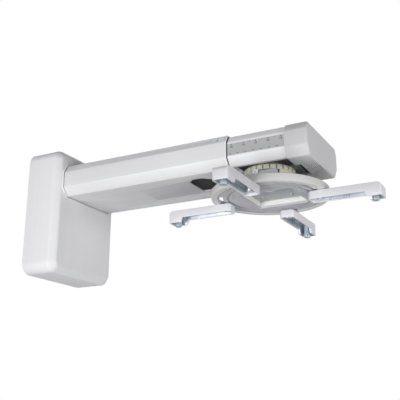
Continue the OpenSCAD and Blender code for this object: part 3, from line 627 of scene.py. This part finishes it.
class Pattern:
    """A Geometry Nodes tree with named size inputs, run once into a plain mesh."""

    def __init__(self, name, **sizes):
        self.tree = bpy.data.node_groups.new(name, "GeometryNodeTree")
        self.sizes = sizes
        for key, value in sizes.items():
            kind = "NodeSocketInt" if isinstance(value, int) else "NodeSocketFloat"
            self.tree.interface.new_socket(key, in_out="INPUT", socket_type=kind)
        self.tree.interface.new_socket("Mesh", in_out="OUTPUT", socket_type="NodeSocketGeometry")
        self.inputs = self.tree.nodes.new("NodeGroupInput")

    def size(self, key):
        """The socket of a named size."""
        return self.inputs.outputs[key]

    def node(self, kind, settings=None, inputs=None):
        """One node of that kind with its settings, and with sockets linked or set."""
        node = self.tree.nodes.new(kind)
        for key, value in (settings or {}).items():
            setattr(node, key, value)
        for key, value in (inputs or {}).items():
            if isinstance(value, bpy.types.NodeSocket):
                self.tree.links.new(value, node.inputs[key])
            else:
                node.inputs[key].default_value = value
        return node

    def vector(self, x=0.0, y=0.0, z=0.0):
        """The socket of a vector made of sockets or numbers."""
        return self.node("ShaderNodeCombineXYZ", {}, {"X": x, "Y": y, "Z": z}).outputs[0]

    def make(self, name, points, shape, material):
        """Puts the shape on the points and returns the object with its mesh made plain."""
        repeated = self.node("GeometryNodeInstanceOnPoints", {}, {
            "Points": points, "Instance": shape})
        real = self.node("GeometryNodeRealizeInstances", {}, {"Geometry": repeated.outputs[0]})
        dressed = self.node("GeometryNodeSetMaterial", {}, {
            "Geometry": real.outputs[0], "Material": material})
        out = self.node("NodeGroupOutput")
        self.tree.links.new(dressed.outputs[0], out.inputs[0])

        piece = placed(name, bpy.data.meshes.new(name))
        modifier = piece.modifiers.new("pattern", "NODES")
        modifier.node_group = self.tree
        for item in self.tree.interface.items_tree:
            if item.in_out == "INPUT":
                modifier[item.identifier] = self.sizes[item.name]
        mesh = plain_mesh(piece)
        if not mesh.materials:
            mesh.materials.append(material)
        return piece


# The length scale on the inner arm's near side: heights from the arm's axis, in millimetres

INK_PROUD, INK_THICKNESS, NUMBER_EXTRUSION = 0.02, 0.05, 0.02
FIRST_MARK, MARK_PITCH, MARK_COUNT = 242.3, 20, 12
LOWER_FIRST, LOWER_PITCH, LOWER_COUNT = 228.3, 12.65, 19
FIRST_NUMBER, NUMBER_STEP, NUMBER_HEIGHT, NUMBER_LEVEL = 50, 2, 5.0, 3.2

strip_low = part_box("scale_strip")[0]
ink_y = strip_low[1] - INK_PROUD * MM


def on_inner_arm(piece):
    """Lets the piece slide with the inner arm."""
    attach(piece, "inner")


def scale_marks(name, start, pitch, count, width, height, level):
    """A row of upright ink marks along the strip."""
    row = Pattern(name, Start=start * MM, Pitch=pitch * MM, Count=count, Width=width * MM,
                  Height=height * MM, Level=ARM_AXIS + level * MM)
    line = row.node("GeometryNodeMeshLine", {"mode": "OFFSET"}, {
        "Count": row.size("Count"),
        "Start Location": row.vector(row.size("Start"), ink_y, row.size("Level")),
        "Offset": row.vector(row.size("Pitch")),
    })
    mark = row.node("GeometryNodeMeshCube", {}, {
        "Size": row.vector(row.size("Width"), INK_THICKNESS * MM, row.size("Height"))})
    on_inner_arm(row.make(name, line.outputs["Mesh"], mark.outputs["Mesh"], INK))


def numeral(text, x, level, height):
    """A plain number on the strip."""
    curve = bpy.data.curves.new("numeral_" + text, "FONT")
    curve.body = text
    curve.size = height * MM
    curve.align_x = "CENTER"
    curve.extrude = NUMBER_EXTRUSION * MM
    curve.resolution_u = 3
    typed = placed("numeral_" + text, curve)
    mesh = mesh_of(typed)
    bpy.data.objects.remove(typed)
    place = Matrix.Translation((x * MM, ink_y, ARM_AXIS + level * MM))
    mesh.transform(place @ Matrix.Rotation(math.radians(90), 4, "X"))
    mesh.materials.clear()
    mesh.materials.append(INK)
    on_inner_arm(placed("numeral_" + text, mesh))


scale_marks("ticks_centimetre", FIRST_MARK, MARK_PITCH, MARK_COUNT, 0.9, 2.6, 8.4)
scale_marks("ticks_middle", FIRST_MARK - MARK_PITCH / 2, MARK_PITCH, MARK_COUNT, 0.7, 1.8, 8.6)
scale_marks("ticks_lower", LOWER_FIRST, LOWER_PITCH, LOWER_COUNT, 3.6, 0.7, -6.2)
for step in range(MARK_COUNT):
    numeral(str(FIRST_NUMBER - NUMBER_STEP * step), FIRST_MARK + MARK_PITCH * step,
            NUMBER_LEVEL, NUMBER_HEIGHT)


# Room, light and camera, in metres

FLOOR_Z, FLOOR_BACK, FLOOR_FRONT, FLOOR_SIDE = -2.8, -6, 8, 7
FLOOR_GREY = (0.88, 0.88, 0.88)
ROOM_LIGHT, ROOM_WHITE = 0.1, 1.0
LIT = Vector((0.3, 0, 0))
LAMP_WIDTH, LAMP_HEIGHT = 2.0, 1.5
CAMERA_PLACE = Vector((0.8128, -0.9622, -0.3334))
YAW, PITCH, ROLL = (math.radians(a) for a in (28.38, 17.12, 0.39))
LENS, SENSOR = 63.39, 36

floor_mesh = bpy.data.meshes.new("floor")
floor_mesh.from_pydata([
    (FLOOR_BACK, -FLOOR_SIDE, FLOOR_Z), (FLOOR_FRONT, -FLOOR_SIDE, FLOOR_Z),
    (FLOOR_FRONT, FLOOR_SIDE, FLOOR_Z), (FLOOR_BACK, FLOOR_SIDE, FLOOR_Z)], [], [(0, 1, 2, 3)])
floor_finish = Finish("floor")
mottle = floor_finish.blend(floor_finish.noise(3), shade(FLOOR_GREY, 0.98), FLOOR_GREY)
floor_finish.set(Base_Color=mottle, Roughness=0.8)
floor_mesh.materials.append(floor_finish.material)
floor = placed("floor", floor_mesh)

# The room is white to the camera and in reflections, and a soft grey light on the object
world = bpy.data.worlds.new("studio")
SCENE.world = world
world.use_nodes = True
room = Shader(world.node_tree)
to_camera, glossy, through = (room.node("LightPath", output=ray) for ray in (
    "Is Camera Ray", "Is Glossy Ray", "Is Transmission Ray"))
seen = to_camera.math("MAXIMUM", glossy.math("MAXIMUM", through))
background = world.node_tree.nodes["Background"]
background.inputs["Color"].default_value = (1, 1, 1, 1)
room.feed(background.inputs["Strength"], seen * (ROOM_WHITE - ROOM_LIGHT) + ROOM_LIGHT)


def lamp(name, offset, watts):
    """A soft box at that offset from the middle of the mount, turned to it."""
    data = bpy.data.lights.new(name, "AREA")
    data.shape = "RECTANGLE"
    data.size, data.size_y, data.energy = LAMP_WIDTH, LAMP_HEIGHT, watts
    light = placed(name, data)
    light.location = LIT + Vector(offset)
    light.rotation_euler = (-Vector(offset)).to_track_quat("-Z", "Y").to_euler()


lamp("key", (-1.0, -3.8, -1.4), 110)
lamp("front", (4.2, -0.6, -0.8), 82)
lamp("low", (2.2, -3.4, -1.85), 27)
lamp("back", (-1.6, 2.1, 1.7), 9)

forward = Vector((-math.sin(YAW) * math.cos(PITCH), math.cos(YAW) * math.cos(PITCH),
                  math.sin(PITCH)))
level_right = forward.cross(Vector((0, 0, 1))).normalized()
level_up = level_right.cross(forward)
right = level_right * math.cos(ROLL) + level_up * math.sin(ROLL)
up = level_up * math.cos(ROLL) - level_right * math.sin(ROLL)
view = bpy.data.cameras.new("camera")
view.lens = LENS
view.sensor_width = SENSOR
view.clip_start = 0.01
camera = placed("camera", view)
turned = Matrix((right, up, -forward)).transposed().to_4x4()
camera.matrix_world = Matrix.Translation(CAMERA_PLACE) @ turned
SCENE.camera = camera
SCENE.view_settings.view_transform = "Standard"
